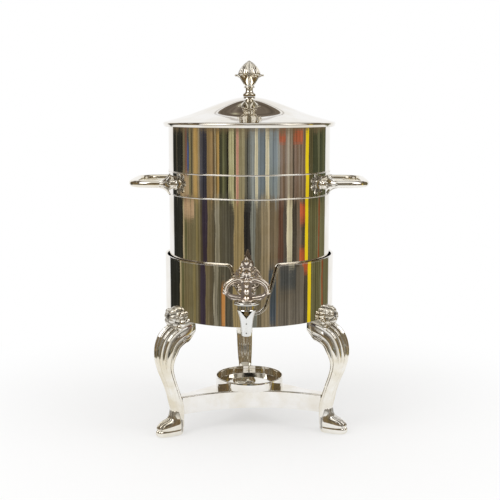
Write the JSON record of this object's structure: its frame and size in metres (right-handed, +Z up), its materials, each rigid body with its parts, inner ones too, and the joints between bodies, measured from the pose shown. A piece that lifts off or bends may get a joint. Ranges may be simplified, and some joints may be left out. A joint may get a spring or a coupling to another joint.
{
  "type": "silver coffee urn on a stand",
  "caption": "Round silver-plated coffee urn with a conical lid, two loop handles and a pierced-key spigot, lifting out of a notched jacket on three cabriole legs over a fuel cup.",
  "frame": {"origin": "on the floor under the urn's vertical axis", "axes": "+Z up, -Y towards the spigot (front), +X towards the right-hand handle"},
  "size_m": [0.316, 0.3053, 0.492],
  "materials": {
    "silver_plate": "polished, slightly warm, fine polishing lines",
    "silver_inside": "tinned or brushed, duller",
    "screw_steel": "machined",
    "brass": "satin",
    "rubber": "matte"
  },
  "bodies": {
    "stand": {"jacket": "silver_plate", "jacket_ledge": "silver_inside", "leg_front_left": "silver_plate", "leg_front_right": "silver_plate", "leg_rear": "silver_plate", "ledge_screws": "screw_steel", "platform": "silver_plate", "platform_skirt": "silver_plate", "platform_screws": "screw_steel", "fuel_cup": "silver_plate", "fuel_cup_screw": "screw_steel", "fuel_cup_nut": "brass"},
    "urn": {"urn_shell": "silver_plate", "urn_floor": "silver_inside", "urn_foot": "silver_inside", "handle_band": "silver_plate", "band_beads": "silver_plate", "handle_left": "silver_plate", "handle_right": "silver_plate", "handle_screws": "screw_steel", "handle_washers": "screw_steel", "spigot_body": "silver_plate", "spigot_outer_gasket": "rubber", "spigot_inner_gasket": "rubber", "spigot_washer": "screw_steel", "spigot_nut": "brass"},
    "spigot_key": {"spigot_key": "silver_plate", "plug_washer": "brass", "plug_nut": "brass"},
    "lid": {"lid_shell": "silver_plate", "lid_collar": "silver_inside", "finial": "silver_plate", "finial_washer": "screw_steel", "finial_nut": "brass"}
  },
  "joints": [
    {"name": "urn_lift", "type": "slide", "parent": "stand", "child": "urn", "axis": [0, 0, 1], "range_m": [0, 0.085]},
    {"name": "lid_lift", "type": "slide", "parent": "urn", "child": "lid", "axis": [0, 0, 1], "range_m": [0, 0.06]},
    {"name": "key_turn", "type": "hinge", "parent": "urn", "child": "spigot_key", "pos_m": [0, -0.1395, 0.1905], "axis": [0, 0, 1], "range_deg": [0, 90]}
  ]
}
